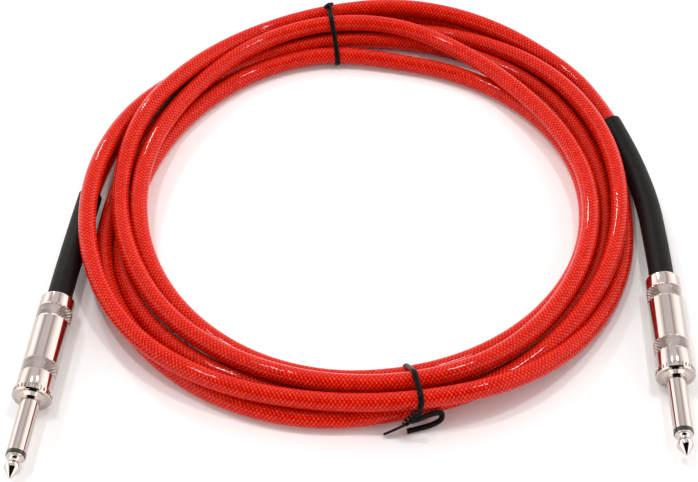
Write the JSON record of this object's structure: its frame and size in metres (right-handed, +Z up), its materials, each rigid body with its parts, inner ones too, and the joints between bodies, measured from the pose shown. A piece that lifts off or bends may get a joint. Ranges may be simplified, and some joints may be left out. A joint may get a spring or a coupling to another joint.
{
  "type": "coiled instrument cable",
  "caption": "Coiled red braided instrument cable with a straight mono phone plug at each end, screw-on metal barrels, black heat-shrink sleeves and twist ties.",
  "frame": {"origin": "on the floor, in the middle of the box round the two plugs and their sleeves (the coiled cable and its ties are not counted)", "axes": "+Z up, +X from the left plug towards the right plug, +Y from the plugs towards the coil; the plugs' tips point roughly to -Y"},
  "size_m": [0.2212, 0.2202, 0.0133],
  "materials": {
    "nickel_plate": "bright nickel plate",
    "tip_nickel": "bright nickel plate",
    "barrel_nickel": "bright nickel plate with two diamond-knurled bands",
    "black_insulator": "gloss black",
    "inner_plastic": "matt",
    "rod_brass": "satin",
    "fibre": "matt",
    "liner_plastic": "smooth",
    "tinned_lug": "satin",
    "core_plastic": "satin",
    "copper": "bright copper",
    "solder": "satin",
    "heat_shrink": "matt black shrunk tubing",
    "cable_jacket": "red braid under a glossy clear jacket",
    "tie_plastic": "satin",
    "tie_steel": "bright wire"
  },
  "bodies": {
    "cable": {"cable_coil": "cable_jacket", "rear_tie_ribbon": "tie_plastic", "rear_tie_wire": "tie_steel", "front_tie_ribbon": "tie_plastic", "front_tie_wire": "tie_steel", "left_plug_body": "nickel_plate", "left_tip": "tip_nickel", "left_tip_insulator_ring": "black_insulator", "left_inner_tube": "inner_plastic", "left_centre_rod": "rod_brass", "left_fibre_washer": "fibre", "left_tip_lug": "tinned_lug", "left_ground_lug": "tinned_lug", "left_core_insulation": "core_plastic", "left_centre_wire": "copper", "left_shield_pigtail": "copper", "left_solder_joints": "solder", "left_heat_shrink_sleeve": "heat_shrink", "left_cable_end": "cable_jacket", "right_plug_body": "nickel_plate", "right_tip": "tip_nickel", "right_tip_insulator_ring": "black_insulator", "right_inner_tube": "inner_plastic", "right_centre_rod": "rod_brass", "right_fibre_washer": "fibre", "right_tip_lug": "tinned_lug", "right_ground_lug": "tinned_lug", "right_core_insulation": "core_plastic", "right_centre_wire": "copper", "right_shield_pigtail": "copper", "right_solder_joints": "solder", "right_heat_shrink_sleeve": "heat_shrink", "right_cable_end": "cable_jacket"},
    "left_liner": {"left_liner": "liner_plastic"},
    "left_barrel": {"left_barrel": "barrel_nickel"},
    "right_liner": {"right_liner": "liner_plastic"},
    "right_barrel": {"right_barrel": "barrel_nickel"}
  },
  "joints": [
    {"name": "left_barrel_travel", "type": "slide", "parent": "cable", "child": "left_liner", "axis": [0.0985, 0.9951, 0], "range_m": [0, 0.0057]},
    {"name": "left_barrel_turn", "type": "hinge", "parent": "left_liner", "child": "left_barrel", "pos_m": [-0.10418, -0.04884, 0.0065], "axis": [0.0985, 0.9951, 0], "range_deg": [0, 2520]},
    {"name": "right_barrel_travel", "type": "slide", "parent": "cable", "child": "right_liner", "axis": [0.0175, 0.9998, 0], "range_m": [0, 0.0057]},
    {"name": "right_barrel_turn", "type": "hinge", "parent": "right_liner", "child": "right_barrel", "pos_m": [0.10402, -0.04034, 0.0065], "axis": [0.0175, 0.9998, 0], "range_deg": [0, 2520]}
  ],
  "couplings": [
    {"joint": "left_barrel_travel", "follows": "left_barrel_turn", "m_per_rad": 0.00012732},
    {"joint": "right_barrel_travel", "follows": "right_barrel_turn", "m_per_rad": 0.00012732}
  ]
}
